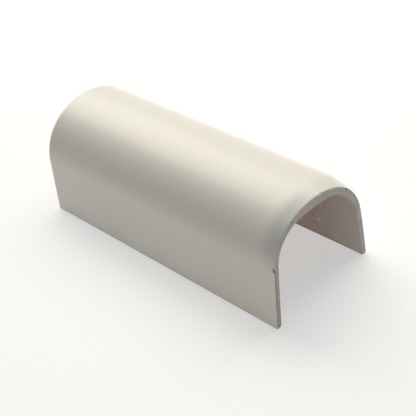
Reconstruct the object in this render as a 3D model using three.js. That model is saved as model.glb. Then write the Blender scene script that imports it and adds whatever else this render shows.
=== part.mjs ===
// Rub rail: a short sawn length of a vinyl extrusion with an arched, upside-down U section.
// Units are millimetres. X runs along the rail, Y across its two legs and Z up.
// The rail stands on the two feet of its legs, and the origin is under the middle of it.

import * as THREE from 'three';

// Overall sizes. The width is taken across the sharp corners that the feet would have.
const RAIL_LENGTH = 152.4;
const FOOT_WIDTH = 63.5;
const RAIL_HEIGHT = 54.5;

// Each leg leans in towards the middle by this angle as it rises.
const LEG_SPLAY_DEG = 4.35;

// A shoulder arc leaves each leg and runs into one flatter arc over the crown.
const SHOULDER_RADIUS = 26.2;
const CROWN_RADIUS = 35.2;

// The hollow has arcs of its own, because the wall is thicker over the crown than in the legs.
const LEG_WALL = 3;
const CROWN_WALL = 5;
const HOLLOW_SHOULDER_RADIUS = 18.4;
const HOLLOW_CROWN_RADIUS = 95;

// The corners of the feet are slightly rounded.
const FOOT_OUTER_CORNER_RADIUS = 0.9;
const FOOT_INNER_CORNER_RADIUS = 0.7;

// The arch has sunk where it was sawn off at the +X end. SAG_DEPTH is the fall at the end, at the
// middle of the crown, and SAG_LENGTH is how far from the end it starts there. The two leans say
// how much both grow from there towards the +Y foot. The slope builds up over the eased share of
// the stretch and then stays the same. The fall also grows with height, between two heights.
const SAG_DEPTH = 2.1;
const SAG_DEPTH_LEAN = 2;
const SAG_LENGTH = 10.5;
const SAG_LENGTH_LEAN = 0.85;
const SAG_EASED_SHARE = 0.75;
const SAG_LOWEST_HEIGHT = 18.7;
const SAG_FULL_HEIGHT = 29.2;

// The wall has swollen into the hollow over the +Y shoulder of the sunken stretch. SWELL_DEPTH is
// the most, at the end. Away from the middle plane the swelling grows from the first of these
// distances to the second, and dies away from the third to the last.
const SWELL_DEPTH = 1.75;
const SWELL_START = 10.5;
const SWELL_FULL = 18.5;
const SWELL_FADE = 23.5;
const SWELL_END = 26.6;

// Straight pieces that one side's arcs, and the sunken stretch, are drawn with.
const SHOULDER_STEPS = 20;
const CROWN_STEPS = 8;
const FOOT_CORNER_STEPS = 4;
const SAG_STEPS = 12;

const VINYL_COLOUR = 0xe3e2d6;
const VINYL_ROUGHNESS = 0.38;

// Points on an arc about a centre, from one angle to another, both ends included.
function arcPoints(centre, radius, from, to, steps) {
  return Array.from({ length: steps + 1 }, (_, i) => {
    const angle = from + ((to - from) * i) / steps;
    return new THREE.Vector2(Math.cos(angle), Math.sin(angle)).multiplyScalar(radius).add(centre);
  });
}

// The arc that rounds a corner between the directions the outline comes in by and leaves by.
function roundedCorner(corner, into, outOf, radius, steps) {
  const turn = Math.atan2(into.cross(outOf), into.dot(outOf));
  const setback = radius * Math.abs(Math.tan(turn / 2));
  const start = corner.clone().addScaledVector(into, -setback);
  const side = Math.sign(turn);
  const normal = new THREE.Vector2(-into.y, into.x).multiplyScalar(side);
  const centre = start.clone().addScaledVector(normal, radius);
  const from = Math.atan2(-normal.y, -normal.x);
  return arcPoints(centre, radius, from, from + turn, steps);
}

// The section is drawn in a plane whose first axis is Y and whose second is Z.
const splay = THREE.MathUtils.degToRad(LEG_SPLAY_DEG);
const upLeg = new THREE.Vector2(-Math.sin(splay), Math.cos(splay));
const intoWall = new THREE.Vector2(-Math.cos(splay), -Math.sin(splay));
const footOuter = new THREE.Vector2(FOOT_WIDTH / 2, 0);
const footInner = new THREE.Vector2(FOOT_WIDTH / 2 - LEG_WALL / Math.cos(splay), 0);

// One surface of the arch, from the leg to the middle of the crown. The shoulder arc touches the
// leg's straight line and the crown arc, whose centre is on the middle plane.
function archPoints(foot, height, shoulderRadius, crownRadius) {
  const crownCentre = new THREE.Vector2(0, height - crownRadius);
  const besideFoot = foot.clone().addScaledVector(intoWall, shoulderRadius);
  const fromCrown = besideFoot.clone().sub(crownCentre);
  const alongLeg = fromCrown.dot(upLeg);
  const centreGap = crownRadius - shoulderRadius;
  const rise = Math.sqrt(alongLeg ** 2 - fromCrown.lengthSq() + centreGap ** 2) - alongLeg;
  const shoulderCentre = besideFoot.clone().addScaledVector(upLeg, rise);
  const meeting = shoulderCentre.clone().sub(crownCentre).angle();
  const top = Math.PI / 2;
  return [
    ...arcPoints(shoulderCentre, shoulderRadius, splay, meeting, SHOULDER_STEPS),
    ...arcPoints(crownCentre, crownRadius, meeting, top, CROWN_STEPS).slice(1),
  ];
}

// The +Y half of the section as rungs across the wall, from the foot up to the middle of the
// crown. Each rung has a point on the outside and one on the hollow's side.
function halfSection() {
  const right = new THREE.Vector2(1, 0);
  const downLeg = upLeg.clone().negate();
  const hollowHeight = RAIL_HEIGHT - CROWN_WALL;
  const outer = [
    ...roundedCorner(footOuter, right, upLeg, FOOT_OUTER_CORNER_RADIUS, FOOT_CORNER_STEPS),
    ...archPoints(footOuter, RAIL_HEIGHT, SHOULDER_RADIUS, CROWN_RADIUS),
  ];
  const inner = [
    ...roundedCorner(footInner, downLeg, right, FOOT_INNER_CORNER_RADIUS, FOOT_CORNER_STEPS).reverse(),
    ...archPoints(footInner, hollowHeight, HOLLOW_SHOULDER_RADIUS, HOLLOW_CROWN_RADIUS),
  ];
  return outer.map((point, i) => ({ outer: point, inner: inner[i] }));
}

// All the rungs, from the -Y foot over the crown to the +Y foot.
function wholeSection() {
  const half = halfSection();
  const flipped = (point) => new THREE.Vector2(-point.x, point.y);
  const otherHalf = half.slice(0, -1).map((rung) => ({
    outer: flipped(rung.outer),
    inner: flipped(rung.inner),
  }));
  return [...otherHalf, ...half.reverse()];
}

// Places along X where the rail has a ring of points: both ends and the sunken stretch, which
// starts furthest from the end over the +Y leg.
function stations() {
  const halfLength = RAIL_LENGTH / 2;
  const longest = SAG_LENGTH * (1 + SAG_LENGTH_LEAN / 2);
  const sunken = Array.from(
    { length: SAG_STEPS + 1 },
    (_, i) => halfLength - longest * (1 - i / SAG_STEPS),
  );
  return [-halfLength, ...sunken];
}

// The share of the whole fall that is reached at a place. The eased curve is the integral of a
// smooth step.
function sunkenShare(x, y) {
  const length = SAG_LENGTH * (1 + (SAG_LENGTH_LEAN * y) / FOOT_WIDTH);
  const nearness = Math.max(0, 1 - (RAIL_LENGTH / 2 - x) / length);
  const eased = Math.min(1, nearness / SAG_EASED_SHARE);
  const curved = SAG_EASED_SHARE * (eased ** 3 - eased ** 4 / 2);
  const straight = Math.max(0, nearness - SAG_EASED_SHARE);
  return (curved + straight) / (1 - SAG_EASED_SHARE / 2);
}

// How far a point of the arch has sunk, from its place in the rail.
function sag(x, y, z) {
  const withHeight = THREE.MathUtils.smoothstep(z, SAG_LOWEST_HEIGHT, SAG_FULL_HEIGHT);
  const lean = 1 + (SAG_DEPTH_LEAN * y) / FOOT_WIDTH;
  return SAG_DEPTH * sunkenShare(x, y) * withHeight * lean;
}

// The hollow's end of a rung, moved on along the rung where the wall has swollen.
function hollowPoint(rung, x) {
  const y = rung.inner.x;
  const rise = THREE.MathUtils.smoothstep(y, SWELL_START, SWELL_FULL);
  const fade = THREE.MathUtils.smoothstep(y, SWELL_FADE, SWELL_END);
  const swelling = SWELL_DEPTH * sunkenShare(x, y) * rise * (1 - fade);
  const across = rung.inner.clone().sub(rung.outer).normalize();
  return rung.inner.clone().addScaledVector(across, swelling);
}

// A box bent into the rail: its first axis follows the section from foot to foot, its second
// goes through the wall from the hollow outwards and its third runs along the rail.
function buildRail() {
  const rungs = wholeSection();
  const places = stations();
  const across = rungs.length - 1;
  const along = places.length - 1;
  const geometry = new THREE.BoxGeometry(across, 1, along, across, 1, along);
  const position = geometry.getAttribute('position');
  for (let i = 0; i < position.count; i += 1) {
    const rung = rungs[Math.round(position.getX(i) + across / 2)];
    const x = places[Math.round(position.getZ(i) + along / 2)];
    const point = position.getY(i) > 0 ? rung.outer : hollowPoint(rung, x);
    position.setXYZ(i, x, point.x, point.y - sag(x, point.x, point.y));
  }
  geometry.computeVertexNormals();
  const vinyl = new THREE.MeshStandardMaterial({
    color: VINYL_COLOUR,
    roughness: VINYL_ROUGHNESS,
    metalness: 0,
  });
  const rail = new THREE.Mesh(geometry, vinyl);
  rail.name = 'rail';
  return rail;
}

const rubRail = new THREE.Group();
rubRail.name = 'rub_rail';
rubRail.add(buildRail());

export default rubRail;
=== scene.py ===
"""Looks of a rub rail: a short sawn length of off-white vinyl extrusion with an arched section.

The rail stands on its two feet. X runs along it towards the sawn end that faces the camera, Y
across its legs from the one in front to the one behind, and Z up. Sizes are in millimetres where
they are named, and become metres where a mesh, a light or the camera is made.
"""

import logging
import math
from collections.abc import Iterable
from dataclasses import dataclass, field
from enum import Enum, IntEnum
from functools import reduce

import bpy
import numpy as np
from mathutils import Matrix, Vector


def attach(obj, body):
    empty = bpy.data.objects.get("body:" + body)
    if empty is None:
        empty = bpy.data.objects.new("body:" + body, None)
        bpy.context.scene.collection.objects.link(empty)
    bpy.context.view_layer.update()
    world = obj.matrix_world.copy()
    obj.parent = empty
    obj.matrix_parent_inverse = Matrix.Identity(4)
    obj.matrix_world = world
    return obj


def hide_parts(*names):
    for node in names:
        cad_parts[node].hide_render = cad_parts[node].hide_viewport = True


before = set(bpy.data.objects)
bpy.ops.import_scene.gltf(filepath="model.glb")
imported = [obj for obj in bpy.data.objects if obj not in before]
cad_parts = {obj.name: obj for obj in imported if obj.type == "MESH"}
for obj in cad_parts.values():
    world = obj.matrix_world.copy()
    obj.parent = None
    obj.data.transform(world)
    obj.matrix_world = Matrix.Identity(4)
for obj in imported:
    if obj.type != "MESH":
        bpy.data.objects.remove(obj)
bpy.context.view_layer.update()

LOG = logging.getLogger("rub_rail")
MM = 0.001
FACE_PLACE = "face_place"

Colour = tuple[float, float, float]
Point = tuple[float, float, float]
Span = tuple[float, float]
ArrayPair = tuple[np.ndarray, np.ndarray]
Socket = bpy.types.NodeSocket
Value = Socket | float | tuple[float, ...]

WARM_WHITE: Colour = (1.0, 0.975, 0.925)


class Zone(IntEnum):
    """Parts of the rail's surface that have finishes of their own."""

    OUTSIDE = 0
    HOLLOW = 1
    SAWN = 2


class RailEnd(Enum):
    """The two sawn ends, by the side of the rail's middle that they are on."""

    NEAR = 1
    FAR = -1


class Lay(Enum):
    """How a light reaches the rail, seen from the camera."""

    KEY = "key"
    BACK = "back"
    SIDE = "side"
    TOP = "top"


def unit_rows(rows: np.ndarray) -> np.ndarray:
    """Rows scaled to a length of one."""
    return rows / np.linalg.norm(rows, axis=1, keepdims=True)


def smooth_step(value: np.ndarray, start: float, end: float) -> np.ndarray:
    """Smooth rise from 0 at start to 1 at end.

    Args:
        value: Numbers to ease.
        start: Number at which the rise begins.
        end: Number at which it is complete.

    Returns:
        3 t^2 - 2 t^3, where t is how far each value is from start to end, held from 0 to 1.
    """
    t = np.clip((value - start) / (end - start), 0.0, 1.0)
    return t * t * (3.0 - 2.0 * t)


def ripple(along: np.ndarray, lengths: tuple[float, ...], seed: int) -> np.ndarray:
    """Irregular wave along a line.

    Args:
        along: Distances along the line.
        lengths: Wavelengths of the sine waves that are added up.
        seed: Seed of the waves' phases.

    Returns:
        The mean of the sine waves, each between -1 and 1.
    """
    phases = np.random.default_rng(seed).uniform(0.0, 2.0 * math.pi, len(lengths))
    waves = [
        np.sin(2.0 * math.pi * along / length + phase) for length, phase in zip(lengths, phases)
    ]
    return np.mean(waves, axis=0)


@dataclass(frozen=True)
class RailSection:
    """The arched section, drawn in the plane of Y and Z.

    Each leg leans in as it rises. A shoulder arc leaves it and runs into one flatter arc over the
    crown. The hollow has arcs of its own, because the wall is thicker over the crown.
    """

    foot_width: float = 63.5
    height: float = 54.5
    leg_splay_deg: float = 4.35
    shoulder_radius: float = 26.2
    crown_radius: float = 35.2
    leg_wall: float = 3.0
    crown_wall: float = 5.0
    hollow_shoulder_radius: float = 18.4
    hollow_crown_radius: float = 95.0
    foot_outer_corner_radius: float = 0.9
    foot_inner_corner_radius: float = 0.7
    corner_steps: int = 6
    leg_steps: int = 26
    shoulder_steps: int = 56
    crown_steps: int = 20

    @property
    def splay(self) -> float:
        """Lean of a leg, in radians."""
        return math.radians(self.leg_splay_deg)

    @property
    def up_leg(self) -> np.ndarray:
        """Direction up the +Y leg."""
        return np.array([-math.sin(self.splay), math.cos(self.splay)])

    @property
    def into_wall(self) -> np.ndarray:
        """Direction through the +Y leg towards the hollow."""
        return np.array([-math.cos(self.splay), -math.sin(self.splay)])

    def arc(
        self, centre: np.ndarray, radius: float, start: float, end: float, steps: int
    ) -> np.ndarray:
        """Points on an arc: centre + radius (cos a, sin a), with a going evenly from start to end.

        Args:
            centre: Centre of the arc.
            radius: Radius of the arc.
            start: First angle, in radians from +Y.
            end: Last angle.
            steps: Number of pieces between the points.

        Returns:
            The points, both ends included.
        """
        angle = np.linspace(start, end, steps + 1)
        return centre + radius * np.column_stack([np.cos(angle), np.sin(angle)])

    def arch(self, foot: np.ndarray, height: float, shoulder: float, crown: float) -> np.ndarray:
        """One surface of the +Y half, from the straight leg to the middle of the crown.

        The shoulder arc's centre lies on the line beside the leg, at the arc's radius from it and
        at the height where its distance from the crown arc's centre is the difference of the two
        radii.

        Args:
            foot: Where the leg's straight line meets the floor.
            height: Height of the arch's top over the floor.
            shoulder: Radius of the shoulder arc.
            crown: Radius of the crown arc.

        Returns:
            Points from the top of the foot's corner to the middle of the crown.
        """
        crown_centre = np.array([0.0, height - crown])
        beside_foot = foot + shoulder * self.into_wall
        from_crown = beside_foot - crown_centre
        along_leg = from_crown @ self.up_leg
        gap = crown - shoulder
        rise = math.sqrt(along_leg**2 - from_crown @ from_crown + gap**2) - along_leg
        shoulder_centre = beside_foot + rise * self.up_leg
        meeting = math.atan2(*(shoulder_centre - crown_centre)[::-1])
        steps = self.shoulder_steps
        over_shoulder = self.arc(shoulder_centre, shoulder, self.splay, meeting, steps)
        over_crown = self.arc(crown_centre, crown, meeting, math.pi / 2.0, self.crown_steps)
        return np.vstack([over_shoulder, over_crown[1:]])

    def outer_corner(self) -> np.ndarray:
        """Rounded corner of the +Y foot on the outside.

        Returns:
            Points of its arc, from the floor up to the leg.
        """
        radius = self.foot_outer_corner_radius
        turn = math.pi / 2.0 + self.splay
        foot = self.foot_width / 2.0
        centre = np.array([foot - radius * math.tan(turn / 2.0), radius])
        return self.arc(centre, radius, self.splay - turn, self.splay, self.corner_steps)

    def inner_corner(self) -> np.ndarray:
        """Rounded corner of the +Y foot on the hollow's side.

        Returns:
            Points of its arc, from the floor up to the leg.
        """
        radius = self.foot_inner_corner_radius
        turn = math.pi / 2.0 - self.splay
        foot = self.foot_width / 2.0 - self.leg_wall / math.cos(self.splay)
        centre = np.array([foot + radius * math.tan(turn / 2.0), radius])
        straight_down = 1.5 * math.pi
        return self.arc(centre, radius, straight_down, straight_down - turn, self.corner_steps)

    def half_side(self, corner: np.ndarray, arch: np.ndarray) -> np.ndarray:
        """Corner, straight leg and arch of one surface joined into one row of points.

        Args:
            corner: Points of the foot's corner.
            arch: Points of the arch, from the top of the leg.

        Returns:
            The row, with the leg's points spread evenly between the other two.
        """
        share = np.linspace(0.0, 1.0, self.leg_steps + 1)[1:-1, None]
        leg = corner[-1] * (1.0 - share) + arch[0] * share
        return np.vstack([corner, leg, arch])

    def rungs(self) -> ArrayPair:
        """Pairs of points across the wall, from the -Y foot over the crown to the +Y foot.

        Returns:
            The points on the outside and those on the hollow's side.
        """
        outer_foot = np.array([self.foot_width / 2.0, 0.0])
        inner_foot = outer_foot - np.array([self.leg_wall / math.cos(self.splay), 0.0])
        outer = self.half_side(
            self.outer_corner(),
            self.arch(outer_foot, self.height, self.shoulder_radius, self.crown_radius),
        )
        inner = self.half_side(
            self.inner_corner(),
            self.arch(
                inner_foot,
                self.height - self.crown_wall,
                self.hollow_shoulder_radius,
                self.hollow_crown_radius,
            ),
        )
        flip = np.array([-1.0, 1.0])
        return (
            np.vstack([outer[:-1] * flip, outer[::-1]]),
            np.vstack([inner[:-1] * flip, inner[::-1]]),
        )


@dataclass(frozen=True)
class SunkenEnd:
    """How the arch has sunk towards the near sawn end, in millimetres.

    The fall is nothing below the lowest height and whole above the full one. It is deeper and
    starts further from the end on the +Y side, where the wall has also swollen into the hollow.
    """

    end: float = 76.2
    depth: float = 2.1
    depth_lean: float = 2.0
    length: float = 10.5
    length_lean: float = 0.85
    eased_share: float = 0.75
    lowest_height: float = 18.7
    full_height: float = 29.2
    width: float = 63.5
    swell_depth: float = 1.75
    swell_start: float = 10.5
    swell_full: float = 18.5
    swell_fade: float = 23.5
    swell_end: float = 26.6

    def share(self, x: np.ndarray, y: np.ndarray) -> np.ndarray:
        """Share of the whole fall that is reached at each place.

        Over the first, eased share of the stretch the slope builds up as a smooth step, whose
        integral is t^3 - t^4 / 2, and over the rest it stays the same.

        Args:
            x: Places along the rail.
            y: Places across it.

        Returns:
            Shares from 0 where the stretch starts to 1 at the end.
        """
        length = self.length * (1.0 + self.length_lean * y / self.width)
        nearness = np.clip(1.0 - (self.end - x) / length, 0.0, 1.0)
        eased = np.clip(nearness / self.eased_share, 0.0, 1.0)
        curved = self.eased_share * (eased**3 - eased**4 / 2.0)
        straight = np.clip(nearness - self.eased_share, 0.0, 1.0)
        return (curved + straight) / (1.0 - self.eased_share / 2.0)

    def fall(self, x: np.ndarray, y: np.ndarray, z: np.ndarray) -> np.ndarray:
        """How far each point has sunk.

        The fall is the depth at the end times the share reached, times the smooth rise with
        height, times a lean with Y.

        Args:
            x: Places along the rail.
            y: Places across it.
            z: Heights before the fall.

        Returns:
            The falls, in millimetres.
        """
        with_height = smooth_step(z, self.lowest_height, self.full_height)
        lean = 1.0 + self.depth_lean * y / self.width
        return self.depth * self.share(x, y) * with_height * lean

    def swelling(self, x: np.ndarray, y: np.ndarray) -> np.ndarray:
        """How far the wall has swollen into the hollow, which it has over the +Y shoulder only.

        The swelling is its depth times the share reached, times a smooth rise with Y and a smooth
        fade further out.

        Args:
            x: Places along the rail.
            y: Places across it.

        Returns:
            The swellings, in millimetres.
        """
        grown = smooth_step(y, self.swell_start, self.swell_full)
        faded = smooth_step(y, self.swell_fade, self.swell_end)
        return self.swell_depth * self.share(x, y) * (grown - faded)


@dataclass(frozen=True)
class Arris:
    """The broken edge that a saw leaves round each end, in millimetres.

    The edge is a quarter round whose radius wanders, with small chips on the hollow's side and
    one nick on the outside of the front leg at the near end, and one small worn facet on the
    crown there.
    """

    outer_radius: float = 0.32
    hollow_radius: float = 0.26
    foot_radius: float = 0.22
    wander: float = 0.09
    wander_wavelengths: tuple[float, ...] = (3.1, 7.7, 13.1)
    chip_depth: float = 0.34
    chip_wavelengths: tuple[float, ...] = (2.3, 3.7, 5.9, 8.3)
    chip_threshold: Span = (0.30, 0.75)
    nick_height: float = 32.5
    nick_length: float = 0.8
    nick_depth: float = 0.75
    facet_place: float = 2.5
    facet_length: float = 1.0
    facet_depth: float = 0.6
    near_seed: int = 11
    far_seed: int = 47
    steps: int = 5

    def radii(self, ring: "Ring", end: RailEnd) -> np.ndarray:
        """Radius of the quarter round at each point of a ring.

        Base radius of the zone, plus a wandering part, plus chips where an irregular wave passes a
        threshold, plus the nick as a bell curve over the height and the facet as one over Y.

        Args:
            ring: The ring of points round the section.
            end: Which end the edge is on.

        Returns:
            The radii in millimetres.
        """
        seed = self.near_seed if end is RailEnd.NEAR else self.far_seed
        base = np.select(
            [ring.zone_is(Zone.HOLLOW), ring.on_foot()],
            [self.hollow_radius, self.foot_radius],
            self.outer_radius,
        )
        wander = self.wander * ripple(ring.travel, self.wander_wavelengths, seed)
        wave = ripple(ring.travel, self.chip_wavelengths, seed + 1)
        chips = self.chip_depth * smooth_step(wave, *self.chip_threshold)
        radius = base + wander + chips * ring.zone_is(Zone.HOLLOW)
        if end is RailEnd.NEAR:
            front = ring.zone_is(Zone.OUTSIDE) & (ring.points[:, 0] < 0.0)
            offset = (ring.points[:, 1] - self.nick_height) / self.nick_length
            radius = radius + self.nick_depth * np.exp(-(offset**2)) * front
            beside = (ring.points[:, 0] - self.facet_place) / self.facet_length
            radius = radius + self.facet_depth * np.exp(-(beside**2)) * ring.zone_is(Zone.OUTSIDE)
        return radius


@dataclass
class Ring:
    """One closed ring of points round the section, with what each point belongs to.

    A face place is how deep a point of the sawn face lies in the wall, from the outside, and how
    far along the outside it is from the -Y foot, in millimetres.
    """

    section: RailSection
    foot_steps: int
    flat_height: float = 1e-6
    points: np.ndarray = field(init=False)
    into_hollow: np.ndarray = field(init=False)
    face_place: np.ndarray = field(init=False)
    zones: np.ndarray = field(init=False)
    travel: np.ndarray = field(init=False)
    rung_count: int = field(init=False)

    def __post_init__(self) -> None:
        """Joins the outside, the +Y foot, the hollow and the -Y foot into one ring."""
        outer, inner = self.section.rungs()
        self.rung_count = len(outer)
        share = np.linspace(0.0, 1.0, self.foot_steps + 1)[1:-1, None]
        far_foot = outer[-1] * (1.0 - share) + inner[-1] * share
        front_foot = inner[0] * (1.0 - share) + outer[0] * share
        self.points = np.vstack([outer, far_foot, inner[::-1], front_foot])
        first = len(outer) + len(far_foot)
        self.into_hollow = np.zeros_like(self.points)
        self.into_hollow[first : first + len(inner)] = unit_rows(inner - outer)[::-1]
        counts = (len(outer), len(far_foot), len(inner), len(front_foot))
        owners = (Zone.OUTSIDE, Zone.OUTSIDE, Zone.HOLLOW, Zone.OUTSIDE)
        self.zones = np.repeat([int(owner) for owner in owners], counts)
        steps = np.linalg.norm(np.roll(self.points, -1, axis=0) - self.points, axis=1)
        self.travel = np.concatenate([[0.0], np.cumsum(steps)[:-1]])
        along = self.travel[: len(outer)]
        wall = np.linalg.norm(inner - outer, axis=1)
        across_foot = share[:, 0]
        depth_parts = (
            np.zeros(len(outer)),
            across_foot * wall[-1],
            wall[::-1],
            across_foot[::-1] * wall[0],
        )
        along_parts = (
            along,
            np.full(len(far_foot), along[-1]),
            along[::-1],
            np.zeros(len(front_foot)),
        )
        places = [np.concatenate(parts) for parts in (depth_parts, along_parts)]
        self.face_place = np.column_stack(places)

    def zone_is(self, zone: Zone) -> np.ndarray:
        """True for each point that belongs to the zone."""
        return self.zones == int(zone)

    def on_foot(self) -> np.ndarray:
        """True for each point on the flat of a foot."""
        return self.points[:, 1] < self.flat_height

    def inward(self) -> np.ndarray:
        """Direction into the wall at each point: the mean of the two edges there, turned a quarter.

        Returns:
            One direction of length one for each point of the ring.
        """
        ahead = unit_rows(np.roll(self.points, -1, axis=0) - self.points)
        behind = unit_rows(self.points - np.roll(self.points, 1, axis=0))
        tangent = unit_rows(ahead + behind)
        return np.column_stack([tangent[:, 1], -tangent[:, 0]])

    def foot_columns(self) -> ArrayPair:
        """Columns of the ring that lie across the +Y foot and across the -Y foot.

        Returns:
            Two rows of column numbers from the outside to the hollow's side.
        """
        inside = self.foot_steps - 1
        far = self.rung_count + np.arange(inside)
        front = 2 * self.rung_count + inside + np.arange(inside)
        return far, front[::-1]


@dataclass
class RailExtrusion:
    """The whole rail as one closed surface: a ring of points carried along X, with two caps.

    The edge room is left for the broken edge at each end, and is more than the largest radius
    that the edge reaches. Waves are given by their lengths, the skin's unevenness starts between
    two distances from an end, and the saw's lean is in radians.
    """

    length: float = 152.4
    section: RailSection = field(default_factory=RailSection)
    sunken: SunkenEnd = field(default_factory=SunkenEnd)
    arris: Arris = field(default_factory=Arris)
    edge_room: float = 1.4
    body_spacing: float = 2.6
    sunken_reach: float = 16.0
    sunken_spacing: float = 0.55
    cap_steps: int = 6
    unevenness: float = 0.035
    skin_waves_along: tuple[float, ...] = (31.0, 47.0, 83.0)
    skin_waves_round: tuple[float, ...] = (19.0, 37.0)
    skin_twist: Span = (61.0, 43.0)
    skin_seeds: tuple[int, int] = (3, 5)
    skin_starts: Span = (1.0, 8.0)
    saw_wobble: float = 0.05
    saw_lean: float = 0.4
    saw_waves: tuple[float, ...] = (1.7, 2.9, 7.3)
    saw_seed: int = 23

    def stations(self) -> np.ndarray:
        """Places along X between the two broken edges, closer together where the arch has sunk.

        Returns:
            The places in rising order.
        """
        half = self.length / 2.0
        start = half - self.sunken_reach
        body = np.arange(-half + self.edge_room, start, self.body_spacing)
        sunk_count = int(self.sunken_reach / self.sunken_spacing)
        sunk = np.linspace(start, half - self.edge_room, sunk_count)
        return np.concatenate([body, sunk])

    def swollen(self, ring: Ring, x: np.ndarray) -> np.ndarray:
        """Points of the ring at each X, moved into the hollow where the wall has swollen."""
        swelling = self.sunken.swelling(x, ring.points[None, :, 0])
        return ring.points[None, :, :] + swelling[:, :, None] * ring.into_hollow[None, :, :]

    def body_rows(self, ring: Ring) -> ArrayPair:
        """Rows of the ring between the two ends.

        The skin dips inwards by a mean of slow sine waves along X, round the section and round
        both at once, because an extrusion cools unevenly. It stays flat at the ends and on the
        feet.

        Args:
            ring: The ring of points round the section.

        Returns:
            X of each row and the points' Y and Z, as one array of rows by columns by two.
        """
        x = self.stations()
        seed_along, seed_round = self.skin_seeds
        slow_along = ripple(x, self.skin_waves_along, seed_along)[:, None]
        slow_round = ripple(ring.travel, self.skin_waves_round, seed_round)[None, :]
        twist_along, twist_round = self.skin_twist
        turns = x[:, None] / twist_along + ring.travel[None, :] / twist_round
        waves = (slow_along + slow_round + np.sin(2.0 * math.pi * turns)) / 3.0
        away = smooth_step(self.length / 2.0 - np.abs(x), *self.skin_starts)[:, None]
        lifted = ~ring.on_foot()[None, :]
        dip = self.unevenness * (1.0 + waves) * away * lifted
        points = self.swollen(ring, x[:, None]) + dip[:, :, None] * ring.inward()[None, :, :]
        return x, points

    def edge_rows(self, ring: Ring, end: RailEnd) -> ArrayPair:
        """Rows that round the edge of one end.

        At angle a from 0 to a quarter turn, each point moves into the wall by r (1 - cos a) and
        lies r (1 - sin a) short of the end, where r is its own radius.

        Args:
            ring: The ring of points round the section.
            end: Which end to round.

        Returns:
            X of each point, and the points' Y and Z, from the side towards the face of the end.
        """
        radius = self.arris.radii(ring, end)[None, :]
        angle = np.linspace(0.0, math.pi / 2.0, self.arris.steps + 1)[:, None]
        x = end.value * (self.length / 2.0 - radius * (1.0 - np.sin(angle)))
        inset = radius * (1.0 - np.cos(angle))
        points = self.swollen(ring, x) + inset[:, :, None] * ring.inward()[None, :, :]
        return x, points

    def across_wall(self, ring: Ring, columns: np.ndarray) -> np.ndarray:
        """Values spread evenly through the wall between those of the ring's two sides.

        Args:
            ring: The ring of points round the section.
            columns: One row of values for each point of the ring.

        Returns:
            Values on a grid of rungs by steps, for the rungs between the feet only.
        """
        count = ring.rung_count
        inside = self.cap_steps - 1
        outer = columns[1 : count - 1]
        inner = columns[count + inside : 2 * count + inside][::-1][1:-1]
        share = (np.arange(1, self.cap_steps) / self.cap_steps)[None, :, None]
        return outer[:, None, :] * (1.0 - share) + inner[:, None, :] * share

    def cap_points(self, ring: Ring, edge: np.ndarray, end: RailEnd) -> ArrayPair:
        """Points inside the face of one end, on a grid of rungs by steps through the wall.

        Each rung runs straight from its outer point to its inner one. The saw has left the face
        slightly hollow there, in waves that run across it along a leaning line.

        Args:
            ring: The ring of points round the section.
            edge: The last row of the rounded edge.
            end: Which end the face is on.

        Returns:
            X and the points' Y and Z, for the rungs between the feet and the inner steps only.
        """
        points = self.across_wall(ring, edge)
        lean = self.saw_lean
        across = points[:, :, 0] * math.cos(lean) + points[:, :, 1] * math.sin(lean)
        wave = ripple(across, self.saw_waves, self.saw_seed)
        dip = self.saw_wobble * (1.0 + wave) / 2.0
        x = end.value * (self.length / 2.0 - dip)
        return x, points

    def wall_faces(self, rows: int, columns: int) -> np.ndarray:
        """Quads between neighbouring rows of a closed ring, with their outsides outwards.

        Args:
            rows: Number of rows.
            columns: Number of points in each row.

        Returns:
            Vertex numbers, four to a row, where vertex number is row times columns plus column.
        """
        row = np.arange(rows - 1)[:, None]
        column = np.arange(columns)[None, :]
        following = (column + 1) % columns
        here = row * columns + column
        beside = row * columns + following
        quads = np.stack([here, here + columns, beside + columns, beside], axis=-1)
        return quads.reshape(-1, 4)

    def cap_faces(self, ring: Ring, row_start: int, inner_start: int, end: RailEnd) -> np.ndarray:
        """Quads of one end's face, which share the last row of the rounded edge.

        Args:
            ring: The ring of points round the section.
            row_start: Number of the first vertex in the rounded edge's last row.
            inner_start: Number of the first vertex inside the face.
            end: Which end the face is on.

        Returns:
            The quads, turned to face away from the rail.
        """
        count = ring.rung_count
        steps = self.cap_steps
        inside = steps - 1
        grid = np.zeros((count, steps + 1), int)
        grid[:, 0] = row_start + np.arange(count)
        grid[:, steps] = row_start + count + inside + np.arange(count)[::-1]
        inner = inner_start + np.arange((count - 2) * inside)
        grid[1:-1, 1:steps] = inner.reshape(count - 2, inside)
        far, front = ring.foot_columns()
        grid[-1, 1:steps] = row_start + far
        grid[0, 1:steps] = row_start + front
        quads = np.stack([grid[:-1, :-1], grid[:-1, 1:], grid[1:, 1:], grid[1:, :-1]], axis=-1)
        quads = quads.reshape(-1, 4)
        return quads if end is RailEnd.NEAR else quads[:, ::-1]

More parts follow.
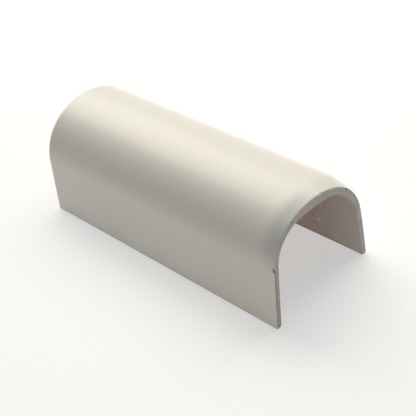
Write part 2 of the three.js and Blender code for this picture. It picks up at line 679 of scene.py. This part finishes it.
    def build(self) -> bpy.types.Object:
        """Makes the rail's mesh and object.

        Returns:
            The object, at the origin, with one material index for each zone of the surface.
        """
        ring = Ring(self.section, self.cap_steps)
        columns = len(ring.points)
        far_x, far_edge = self.edge_rows(ring, RailEnd.FAR)
        near_x, near_edge = self.edge_rows(ring, RailEnd.NEAR)
        body_x, body = self.body_rows(ring)
        row_x = np.concatenate([far_x[::-1], np.repeat(body_x[:, None], columns, axis=1), near_x])
        row_points = np.concatenate([far_edge[::-1], body, near_edge])
        rows = len(row_x)
        x_parts = [row_x.ravel()]
        point_parts = [row_points.reshape(-1, 2)]
        place_parts = [np.tile(ring.face_place, (rows, 1))]
        face_parts = [self.wall_faces(rows, columns)]
        zone_parts = [np.tile(ring.zones, rows - 1)]
        next_vertex = rows * columns
        for end, edge, row_start in (
            (RailEnd.NEAR, near_edge[-1], (rows - 1) * columns),
            (RailEnd.FAR, far_edge[-1], 0),
        ):
            cap_x, cap = self.cap_points(ring, edge, end)
            faces = self.cap_faces(ring, row_start, next_vertex, end)
            x_parts.append(cap_x.ravel())
            point_parts.append(cap.reshape(-1, 2))
            place_parts.append(self.across_wall(ring, ring.face_place).reshape(-1, 2))
            face_parts.append(faces)
            zone_parts.append(np.full(len(faces), int(Zone.SAWN)))
            next_vertex += cap_x.size
        x = np.concatenate(x_parts)
        flat = np.vstack(point_parts)
        z = flat[:, 1] - self.sunken.fall(x, flat[:, 0], flat[:, 1])
        vertices = np.column_stack([x, flat[:, 0], z]) * MM
        quads, zones = np.vstack(face_parts), np.concatenate(zone_parts)
        rail = mesh_object("rail_extrusion", vertices, quads, zones)
        places = np.column_stack([np.vstack(place_parts), np.zeros(len(vertices))])
        attribute = rail.data.attributes.new(FACE_PLACE, "FLOAT_VECTOR", "POINT")
        attribute.data.foreach_set("vector", places.astype(np.float32).ravel())
        return rail

    def dress(self, rail: bpy.types.Object) -> None:
        """Gives each zone of the rail its finish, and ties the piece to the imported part.

        Args:
            rail: The rail's object.
        """
        for finish in (OutsideVinyl(), HollowVinyl(), SawnVinyl()):
            rail.data.materials.append(finish.material())
        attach(rail, "root")
        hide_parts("rail")


def mesh_object(
    name: str, vertices: np.ndarray, quads: np.ndarray, zones: np.ndarray
) -> bpy.types.Object:
    """Puts a quad mesh into Blender, smooth all over.

    Args:
        name: Name of the object and its mesh.
        vertices: Points in metres, one row each.
        quads: Vertex numbers, four to a row.
        zones: Material index of each quad.

    Returns:
        The new object, linked to the scene.
    """
    mesh = bpy.data.meshes.new(name)
    mesh.vertices.add(len(vertices))
    mesh.vertices.foreach_set("co", vertices.astype(np.float32).ravel())
    mesh.loops.add(quads.size)
    mesh.loops.foreach_set("vertex_index", quads.astype(np.int32).ravel())
    mesh.polygons.add(len(quads))
    mesh.polygons.foreach_set("loop_start", np.arange(0, quads.size, 4, dtype=np.int32))
    mesh.polygons.foreach_set("material_index", zones.astype(np.int32))
    mesh.polygons.foreach_set("use_smooth", np.ones(len(quads), bool))
    mesh.update(calc_edges=True)
    mesh.validate()
    piece = bpy.data.objects.new(name, mesh)
    bpy.context.scene.collection.objects.link(piece)
    return piece


class NodeBench:
    """Adds nodes to one new material and joins them.

    A value is an output to join, or a plain number, vector or colour to set.
    """

    NOISE_MIDDLE = 0.5
    SPOT_CORE = 0.45
    COLOUR_INPUTS = (6, 7)
    COLOUR_OUTPUT = 2

    def __init__(self, name: str) -> None:
        """Starts a material that holds only its shader and its output.

        Args:
            name: Name of the material.
        """
        self.result = bpy.data.materials.new(name)
        self.result.use_nodes = True
        self.tree = self.result.node_tree
        self.shader = self.tree.nodes["Principled BSDF"]
        self.place = self.add("ShaderNodeTexCoord").outputs["Object"]

    def add(self, kind: str, **settings: str) -> bpy.types.Node:
        """Adds a node.

        Args:
            kind: Blender's name for the kind of node.
            settings: Properties to set on it.

        Returns:
            The new node.
        """
        node = self.tree.nodes.new(kind)
        for name, value in settings.items():
            setattr(node, name, value)
        return node

    def feed(self, source: Value, socket: Socket) -> None:
        """Joins an output to a socket, or sets the socket's own value.

        Args:
            source: The output or the plain value.
            socket: The input that takes it.
        """
        if isinstance(source, Socket):
            self.tree.links.new(source, socket)
        else:
            socket.default_value = source

    def sum_up(self, operation: str, first: Value, second: Value = 0.0) -> Socket:
        """One step of arithmetic on two numbers.

        Args:
            operation: Blender's name for the step.
            first: The first number.
            second: The second number, which some steps leave out.

        Returns:
            The result.
        """
        node = self.add("ShaderNodeMath", operation=operation)
        self.feed(first, node.inputs[0])
        self.feed(second, node.inputs[1])
        return node.outputs[0]

    def swing(self, value: Value, middle: float, change: float, base: float) -> Socket:
        """Number that swings about a base as another does about its middle.

        Args:
            value: The number to follow.
            middle: Where that number gives the base.
            change: How much the result changes for a change of one.
            base: The result in the middle.

        Returns:
            base + change (value - middle).
        """
        offset = self.sum_up("SUBTRACT", value, middle)
        return self.sum_up("ADD", self.sum_up("MULTIPLY", offset, change), base)

    def rise(self, value: Value, span: Span) -> Socket:
        """Smooth rise from 0 to 1.

        Args:
            value: The number to ease.
            span: Where the rise starts and where it is complete.

        Returns:
            The eased number, held from 0 to 1.
        """
        node = self.add("ShaderNodeMapRange", interpolation_type="SMOOTHSTEP")
        self.feed(value, node.inputs["Value"])
        node.inputs["From Min"].default_value, node.inputs["From Max"].default_value = span
        return node.outputs["Result"]

    def rise_mm(self, value: Value, span_mm: Span) -> Socket:
        """Smooth rise from 0 to 1 of a length in metres, over a span in millimetres."""
        return self.rise(value, (span_mm[0] * MM, span_mm[1] * MM))

    def stretched(self, scale: Point, turn: Point = (0.0, 0.0, 0.0)) -> Socket:
        """Object coordinates, turned and then scaled.

        Args:
            scale: Factor along each axis.
            turn: Turn about each axis, in radians.

        Returns:
            The new coordinates.
        """
        node = self.add("ShaderNodeMapping")
        self.feed(self.place, node.inputs["Vector"])
        node.inputs["Rotation"].default_value = turn
        node.inputs["Scale"].default_value = scale
        return node.outputs["Vector"]

    def noise(self, size_mm: float, detail: float, where: Value | None = None) -> Socket:
        """Cloudy noise.

        Args:
            size_mm: About how large its features are.
            detail: How many finer layers it has.
            where: Coordinates to draw it on, if not the object's own.

        Returns:
            Noise from 0 to 1.
        """
        node = self.add("ShaderNodeTexNoise")
        self.feed(self.place if where is None else where, node.inputs["Vector"])
        node.inputs["Scale"].default_value = 1.0 / (size_mm * MM)
        node.inputs["Detail"].default_value = detail
        return node.outputs["Fac"]

    def blend(self, share: Value, first: Value, second: Value) -> Socket:
        """Colour between two.

        Args:
            share: How far from the first to the second, from 0 to 1.
            first: The first colour.
            second: The second colour.

        Returns:
            The blended colour.
        """
        node = self.add("ShaderNodeMix", data_type="RGBA")
        self.feed(share, node.inputs["Factor"])
        for value, number in zip((first, second), self.COLOUR_INPUTS):
            self.feed(value if isinstance(value, Socket) else (*value, 1.0), node.inputs[number])
        return node.outputs[self.COLOUR_OUTPUT]

    def axes(self, vector: Value | None = None) -> tuple[Socket, Socket, Socket]:
        """X, Y and Z of a vector.

        Args:
            vector: The vector, if not the point's own place in metres.

        Returns:
            The three numbers.
        """
        node = self.add("ShaderNodeSeparateXYZ")
        self.feed(self.place if vector is None else vector, node.inputs["Vector"])
        return node.outputs[0], node.outputs[1], node.outputs[2]

    def chain(self, operation: str, values: Iterable[Value]) -> Socket:
        """One step of arithmetic carried from number to number.

        Args:
            operation: Blender's name for the step.
            values: Two or more numbers.

        Returns:
            The result of them all.
        """
        return reduce(lambda result, value: self.sum_up(operation, result, value), values)

    def product(self, *values: Value) -> Socket:
        """All the numbers multiplied together."""
        return self.chain("MULTIPLY", values)

    def largest(self, *values: Value) -> Socket:
        """The largest of several numbers."""
        return self.chain("MAXIMUM", values)

    def spot(self, centre_mm: Point, radius_mm: float) -> Socket:
        """Small ball about a point.

        Args:
            centre_mm: The point.
            radius_mm: Radius at which the ball has faded away.

        Returns:
            Share that is 1 in the ball's core and 0 outside it.
        """
        node = self.add("ShaderNodeVectorMath", operation="DISTANCE")
        self.feed(self.place, node.inputs[0])
        node.inputs[1].default_value = tuple(value * MM for value in centre_mm)
        return self.rise_mm(node.outputs["Value"], (radius_mm, radius_mm * self.SPOT_CORE))

    def bump(self, height: Value, depth_mm: float, under: Value | None = None) -> Socket:
        """Relief of a real depth.

        Args:
            height: Height from 0 to 1.
            depth_mm: Depth that a height of one stands for.
            under: Another relief that this one lies on.

        Returns:
            The bent normal.
        """
        node = self.add("ShaderNodeBump")
        node.inputs["Distance"].default_value = depth_mm * MM
        self.feed(height, node.inputs["Height"])
        if under is not None:
            self.feed(under, node.inputs["Normal"])
        return node.outputs["Normal"]

    def finish(self, inputs: dict[str, Value]) -> bpy.types.Material:
        """Feeds the shader and hands over the material.

        Args:
            inputs: Values for the shader's inputs, by name.

        Returns:
            The material.
        """
        for name, value in inputs.items():
            self.feed(value, self.shader.inputs[name])
        return self.result


@dataclass(frozen=True)
class OutsideVinyl:
    """Satin off-white vinyl as the die leaves it, with faint lines along the rail.

    Dirt lies in the nick of the front leg's end, and a dark line runs along the end of the leg
    behind. A painted contact shadow darkens the bottom of each foot. The facet on the crown's end
    is smooth, and its colour is whitened as a painted highlight. Towards the near end the front
    shoulder is painted darker and greyer as shade.
    """

    colour: Colour = (0.805, 0.788, 0.712)
    warm_colour: Colour = (0.83, 0.783, 0.702)
    cloud_size: float = 17.0
    cloud_detail: float = 3.0
    cloud_span: Span = (0.35, 0.7)
    roughness: float = 0.40
    roughness_change: float = 0.08
    die_line_size: float = 0.9
    die_line_detail: float = 2.0
    die_line_stretch: float = 0.012
    die_line_depth: float = 0.008
    grain_size: float = 1.6
    grain_detail: float = 3.0
    grain_depth: float = 0.012
    # Dark colour of the nick's grime, the end line and the painted contact shadow at the feet.
    grime_and_shadow_colour: Colour = (0.20, 0.17, 0.14)
    contact_shadow_height: Span = (1.2, 0.75)
    nick_places: tuple[Point, ...] = ((75.95, -29.2, 32.7), (76.05, -29.15, 31.6))
    nick_radius: float = 0.85
    end_line_along: Span = (75.75, 76.05)
    end_line_across: Span = (19.0, 22.0)
    end_line_share: float = 0.55
    facet_place: Point = (75.85, 2.5, 52.6)
    facet_radius: float = 1.15
    facet_roughness: float = 0.08
    # The facet's whitened colour is a painted highlight; its low roughness is real.
    facet_highlight_colour: Colour = (0.97, 0.965, 0.95)
    # Painted shade: the front shoulder darker and greyer towards the near end.
    shoulder_shade_colour: Colour = (0.635, 0.637, 0.605)
    shoulder_shade_along: Span = (65.0, 72.5)
    shoulder_shade_across: Span = (5.0, -12.0)
    shoulder_shade_height: Span = (30.0, 44.0)

    def dirt_and_contact_shadow(self, bench: NodeBench) -> Socket:
        """Share of dirt and painted contact shadow at a point, from height, end distance and the
        nick.

        Args:
            bench: The material being built.

        Returns:
            The share.
        """
        along, across, height = bench.axes()
        # Painted contact shadow: dark along the bottom of each foot.
        contact_shadow = bench.rise_mm(height, self.contact_shadow_height)
        end_line = bench.product(
            bench.rise_mm(along, self.end_line_along),
            bench.rise_mm(across, self.end_line_across),
            self.end_line_share,
        )
        nick = (bench.spot(place, self.nick_radius) for place in self.nick_places)
        return bench.largest(contact_shadow, end_line, *nick)

    def shoulder_shade(self, bench: NodeBench) -> Socket:
        """Share of painted shade at a point: near the end, high enough and on the front side.

        Args:
            bench: The material being built.

        Returns:
            The share.
        """
        spans = (self.shoulder_shade_along, self.shoulder_shade_across, self.shoulder_shade_height)
        return bench.product(*(bench.rise_mm(*pair) for pair in zip(bench.axes(), spans)))

    def material(self) -> bpy.types.Material:
        """Builds the finish.

        Returns:
            The node material.
        """
        bench = NodeBench("vinyl_outside")
        clouds = bench.rise(bench.noise(self.cloud_size, self.cloud_detail), self.cloud_span)
        facet = bench.spot(self.facet_place, self.facet_radius)
        colour = bench.blend(clouds, self.colour, self.warm_colour)
        # Painted shade over the front shoulder towards the near end.
        colour = bench.blend(self.shoulder_shade(bench), colour, self.shoulder_shade_colour)
        # Painted highlight: the facet's colour is whitened.
        colour = bench.blend(facet, colour, self.facet_highlight_colour)
        # Grime in the nick, the dark end line and painted contact shadow along the feet.
        colour = bench.blend(self.dirt_and_contact_shadow(bench), colour, self.grime_and_shadow_colour)
        along_rail = bench.stretched((self.die_line_stretch, 1.0, 1.0))
        lines = bench.noise(self.die_line_size, self.die_line_detail, along_rail)
        gloss = bench.swing(lines, bench.NOISE_MIDDLE, self.roughness_change, self.roughness)
        worn = bench.product(facet, self.roughness - self.facet_roughness)
        grain = bench.bump(bench.noise(self.grain_size, self.grain_detail), self.grain_depth)
        inputs = {
            "Base Color": colour,
            "Roughness": bench.sum_up("SUBTRACT", gloss, worn),
            "Normal": bench.bump(lines, self.die_line_depth, grain),
        }
        return bench.finish(inputs)


@dataclass(frozen=True)
class HollowVinyl:
    """Duller vinyl in the hollow, its colour painted darker and warmer as shade and bounce light.

    Dust has settled in the die's lines. Towards the sawn end the colour is painted paler, as
    light that falls in through the open end. A painted contact shadow darkens the foot. Two pale
    flecks lie on the leg behind.
    """

    # The hollow's dark, warm colours are painted shade and painted warm bounce light.
    colour: Colour = (0.43, 0.34, 0.295)
    dusty_colour: Colour = (0.365, 0.252, 0.208)
    dust_size: float = 9.0
    dust_detail: float = 4.0
    dust_span: Span = (0.15, 0.4)
    dust_middle: float = 0.25
    roughness: float = 0.55
    roughness_change: float = 0.15
    die_line_size: float = 1.4
    die_line_detail: float = 2.0
    die_line_stretch: float = 0.02
    die_line_depth: float = 0.02
    # Painted light: paler towards the open sawn end, where light falls into the hollow.
    open_end_light_colour: Colour = (0.52, 0.48, 0.43)
    open_end_light_span: Span = (46.2, 76.2)
    fleck_colour: Colour = (0.60, 0.57, 0.53)
    flecks: tuple[tuple[Point, float], ...] = (
        ((52.0, 27.9, 10.9), 1.1),
        ((54.2, 27.2, 20.6), 0.8),
    )
    # Colour of the painted contact shadow along the foot on the hollow's side.
    grime_and_shadow_colour: Colour = (0.20, 0.165, 0.14)
    contact_shadow_height: Span = (1.2, 0.6)

    def material(self) -> bpy.types.Material:
        """Builds the finish.

        Returns:
            The node material.
        """
        bench = NodeBench("vinyl_hollow")
        along_rail = bench.stretched((self.die_line_stretch, 1.0, 1.0))
        lines = bench.noise(self.die_line_size, self.die_line_detail, along_rail)
        dust = bench.product(bench.noise(self.dust_size, self.dust_detail), lines)
        along, _, height = bench.axes()
        flecks = bench.largest(*(bench.spot(*fleck) for fleck in self.flecks))
        # Painted shade and warm bounce light, darker in patches of dust.
        colour = bench.blend(bench.rise(dust, self.dust_span), self.colour, self.dusty_colour)
        # Painted light falling in through the open end.
        colour = bench.blend(bench.rise_mm(along, self.open_end_light_span), colour, self.open_end_light_colour)
        colour = bench.blend(flecks, colour, self.fleck_colour)
        # Painted contact shadow: dark along the bottom of the foot.
        contact_shadow = bench.rise_mm(height, self.contact_shadow_height)
        gloss = bench.swing(dust, self.dust_middle, self.roughness_change, self.roughness)
        inputs = {
            "Base Color": bench.blend(contact_shadow, colour, self.grime_and_shadow_colour),
            "Roughness": gloss,
            "Normal": bench.bump(lines, self.die_line_depth),
        }
        return bench.finish(inputs)


@dataclass(frozen=True)
class SawnVinyl:
    """Matt, slightly grey vinyl of a sawn face, with the saw's scratches and a few dark marks.

    Pale streaks follow the wall, and a dark line runs down the front leg from its nick. A span
    says where something starts to show and where it is whole.
    """

    colour: Colour = (0.49, 0.475, 0.43)
    roughness: float = 0.62
    scratch_colour: Colour = (0.42, 0.405, 0.365)
    scratch_spacing: float = 0.75
    scratch_depth: float = 0.05
    scratch_lean_deg: float = 24.0
    scratch_distortion: float = 3.0
    scratch_detail: float = 3.0
    wave_turn: float = 20.0
    streak_colour: Colour = (0.575, 0.555, 0.51)
    streak_width: float = 0.8
    streak_length: float = 22.0
    streak_span: Span = (0.45, 0.7)
    mark_colour: Colour = (0.13, 0.115, 0.10)
    line_depth: float = 0.42
    line_half_width: Span = (0.3, 0.09)
    line_foot: Span = (9.5, 11.5)
    line_top: Span = (33.5, 32.5)
    line_gap_size: float = 4.0
    line_gap_detail: float = 2.0
    line_gap_span: Span = (0.3, 0.5)
    specks: tuple[tuple[Point, float], ...] = (
        ((76.1, -29.0, 32.3), 0.8),
        ((76.2, -29.0, 30.6), 0.6),
        ((76.2, -30.5, 4.8), 0.6),
        ((76.2, -30.9, 2.1), 0.6),
        ((76.1, 20.1, 43.7), 0.9),
        ((76.1, -15.6, 49.2), 0.8),
    )

    def marks(self, bench: NodeBench, depth: Socket, travel: Socket) -> Socket:
        """Share of dark marks at a point of the face.

        Args:
            bench: The material being built.
            depth: Depth in the wall, from the outside.
            travel: Distance along the outside from the -Y foot.

        Returns:
            The share, which is 1 in the middle of a speck or of the line.
        """
        beside = bench.sum_up("ABSOLUTE", bench.sum_up("SUBTRACT", depth, self.line_depth))
        line = bench.product(
            bench.rise(beside, self.line_half_width),
            bench.rise(travel, self.line_foot),
            bench.rise(travel, self.line_top),
            bench.rise(bench.noise(self.line_gap_size, self.line_gap_detail), self.line_gap_span),
        )
        return bench.largest(line, *(bench.spot(*speck) for speck in self.specks))

    def streaks(self, bench: NodeBench, on_face: Socket) -> Socket:
        """Long streaks that follow the wall.

        Args:
            bench: The material being built.
            on_face: Place on the face, in millimetres.

        Returns:
            Share of the streaks' colour.
        """
        stretch = bench.add("ShaderNodeVectorMath", operation="MULTIPLY")
        bench.feed(on_face, stretch.inputs[0])
        bench.feed((1.0 / self.streak_width, 1.0 / self.streak_length, 1.0), stretch.inputs[1])
        noise = bench.add("ShaderNodeTexNoise")
        bench.feed(stretch.outputs["Vector"], noise.inputs["Vector"])
        bench.feed(1.0, noise.inputs["Scale"])
        return bench.rise(noise.outputs["Fac"], self.streak_span)

    def scratches(self, bench: NodeBench) -> Socket:
        """Leaning scratches that the saw has left.

        The wave texture turns by wave_turn radians over a length of one at a scale of one, so its
        scale is a full turn over that and over the spacing.

        Args:
            bench: The material being built.

        Returns:
            Height of the scratches, from 0 to 1.
        """
        turn = (math.radians(self.scratch_lean_deg), 0.0, 0.0)
        wave = bench.add("ShaderNodeTexWave", wave_type="BANDS", bands_direction="Y")
        bench.feed(bench.stretched((1.0, 1.0, 1.0), turn), wave.inputs["Vector"])
        scale = 2.0 * math.pi / self.wave_turn / (self.scratch_spacing * MM)
        bench.feed(scale, wave.inputs["Scale"])
        bench.feed(self.scratch_distortion, wave.inputs["Distortion"])
        bench.feed(self.scratch_detail, wave.inputs["Detail"])
        return wave.outputs["Fac"]

    def material(self) -> bpy.types.Material:
        """Builds the finish.

        Returns:
            The node material.
        """
        bench = NodeBench("vinyl_sawn")
        on_face = bench.add("ShaderNodeAttribute", attribute_name=FACE_PLACE).outputs["Vector"]
        depth, travel, _ = bench.axes(on_face)
        scratches = self.scratches(bench)
        colour = bench.blend(scratches, self.scratch_colour, self.colour)
        colour = bench.blend(self.streaks(bench, on_face), colour, self.streak_colour)
        colour = bench.blend(self.marks(bench, depth, travel), colour, self.mark_colour)
        inputs = {
            "Base Color": colour,
            "Roughness": self.roughness,
            "Normal": bench.bump(scratches, self.scratch_depth),
        }
        return bench.finish(inputs)


@dataclass(frozen=True)
class StudioFloor:
    """A plain table top that glows like a light table, so that shadows on it stay pale."""

    half_size: float = 8.0
    cells: int = 4
    drop: float = 0.00005
    colour: Colour = (0.50, 0.50, 0.495)
    roughness: float = 0.9
    shade: float = 0.985
    shade_size: float = 400.0
    shade_detail: float = 1.0
    shade_span: Span = (0.2, 0.8)
    glow_colour: Colour = (1.0, 1.0, 0.99)
    glow: float = 0.49

    def material(self) -> bpy.types.Material:
        """Builds the finish, which is faintly clouded.

        Returns:
            The node material.
        """
        bench = NodeBench("pale_floor")
        clouds = bench.rise(bench.noise(self.shade_size, self.shade_detail), self.shade_span)
        shaded = tuple(self.shade * value for value in self.colour)
        inputs = {
            "Base Color": bench.blend(clouds, self.colour, shaded),
            "Roughness": self.roughness,
            "Emission Color": (*self.glow_colour, 1.0),
            "Emission Strength": self.glow,
        }
        return bench.finish(inputs)

    def build(self) -> bpy.types.Object:
        """Makes the floor as a flat grid just under the feet.

        Returns:
            The floor.
        """
        side = np.linspace(-self.half_size, self.half_size, self.cells + 1)
        x, y = np.meshgrid(side, side)
        vertices = np.column_stack([x.ravel(), y.ravel(), np.full(x.size, -self.drop)])
        number = np.arange(x.size).reshape(x.shape)
        corners = (number[:-1, :-1], number[:-1, 1:], number[1:, 1:], number[1:, :-1])
        quads = np.stack(corners, axis=-1).reshape(-1, 4)
        floor = mesh_object("studio_floor", vertices, quads, np.zeros(len(quads), int))
        floor.data.materials.append(self.material())
        return floor


@dataclass(frozen=True)
class SoftBox:
    """A square soft light that shines on the middle of the rail."""

    kind: Lay
    direction: Point
    distance: float
    size: float
    power: float
    colour: Colour = (1.0, 1.0, 1.0)
    aim_height: float = 27.0

    def build(self) -> bpy.types.Object:
        """Makes the light and turns it to the rail.

        Returns:
            The light's object.
        """
        lamp = bpy.data.lights.new(f"soft_box_{self.kind.value}", "AREA")
        lamp.shape = "SQUARE"
        lamp.size = self.size
        lamp.energy = self.power
        lamp.color = self.colour
        stand = bpy.data.objects.new(lamp.name, lamp)
        towards = Vector(self.direction).normalized()
        middle = Vector((0.0, 0.0, self.aim_height * MM))
        stand.location = middle + towards * self.distance
        stand.rotation_euler = towards.to_track_quat("Z", "Y").to_euler()
        bpy.context.scene.collection.objects.link(stand)
        return stand


@dataclass(frozen=True)
class Studio:
    """Floor, soft lights and a dim even surround."""

    surround: Colour = (0.03, 0.03, 0.03)
    floor: StudioFloor = StudioFloor()
    boxes: tuple[SoftBox, ...] = (
        SoftBox(Lay.KEY, (-0.62, 0.23, 0.74), 1.4, 0.93, 11.1, WARM_WHITE),
        SoftBox(Lay.BACK, (-0.10, 0.58, 0.81), 1.4, 1.0, 11.1, WARM_WHITE),
        SoftBox(Lay.SIDE, (0.30, 0.70, 0.65), 1.4, 0.93, 1.7),
        SoftBox(Lay.TOP, (-0.10, -0.12, 0.99), 1.4, 0.93, 2.7),
    )

    def build(self) -> None:
        """Makes the floor and the lights, and sets the surround and the plain colour response."""
        floor = self.floor.build()
        LOG.info("%s: %d faces", floor.name, len(floor.data.polygons))
        for box in self.boxes:
            box.build()
            LOG.info("light %s: %.1f W, %.2f m square", box.kind.value, box.power, box.size)
        world = bpy.data.worlds.new("studio_surround")
        world.use_nodes = True
        world.node_tree.nodes["Background"].inputs["Color"].default_value = (*self.surround, 1.0)
        scene = bpy.context.scene
        scene.world = world
        scene.view_settings.view_transform = "Standard"


@dataclass(frozen=True)
class PhotoCamera:
    """The camera of the photograph, found from the rail's outline in it."""

    place_mm: Point = (288.13, -236.05, 292.20)
    heading_deg: float = 50.046
    look_down_deg: float = 36.950
    roll_deg: float = -9.753
    lens: float = 82.28
    sensor: float = 36.0
    clip_start: float = 0.01

    def axes(self) -> tuple[Vector, Vector, Vector]:
        """Directions of the camera's own axes.

        Returns:
            The directions to its right, upwards in its picture, and backwards.
        """
        angles = (self.heading_deg, self.look_down_deg, self.roll_deg)
        heading, down, roll = (math.radians(angle) for angle in angles)
        outward = math.cos(down)
        back = Vector(
            (math.sin(heading) * outward, -math.cos(heading) * outward, math.sin(down))
        )
        level = Vector((0.0, 0.0, 1.0)).cross(back).normalized()
        upright = back.cross(level)
        right = math.cos(roll) * level + math.sin(roll) * upright
        up = math.cos(roll) * upright - math.sin(roll) * level
        return right, up, back

    def build(self) -> bpy.types.Object:
        """Makes the camera and sets it as the scene's.

        Returns:
            The camera's object.
        """
        data = bpy.data.cameras.new("photo_camera")
        data.lens = self.lens
        data.sensor_fit = "HORIZONTAL"
        data.sensor_width = self.sensor
        data.clip_start = self.clip_start
        camera = bpy.data.objects.new("photo_camera", data)
        turned = Matrix(self.axes()).transposed().to_4x4()
        camera.matrix_world = Matrix.Translation(Vector(self.place_mm) * MM) @ turned
        bpy.context.scene.collection.objects.link(camera)
        bpy.context.scene.camera = camera
        return camera


def main() -> None:
    """Builds the camera, the rail and the studio."""
    logging.basicConfig(level=logging.INFO, format="%(name)s: %(message)s")
    camera = PhotoCamera().build()
    LOG.info("%s: %.2f mm lens", camera.name, camera.data.lens)
    extrusion = RailExtrusion()
    rail = extrusion.build()
    extrusion.dress(rail)
    LOG.info("%s: %d faces, %.1f mm long", rail.name, len(rail.data.polygons), extrusion.length)
    Studio().build()


if __name__ == "__main__":
    main()
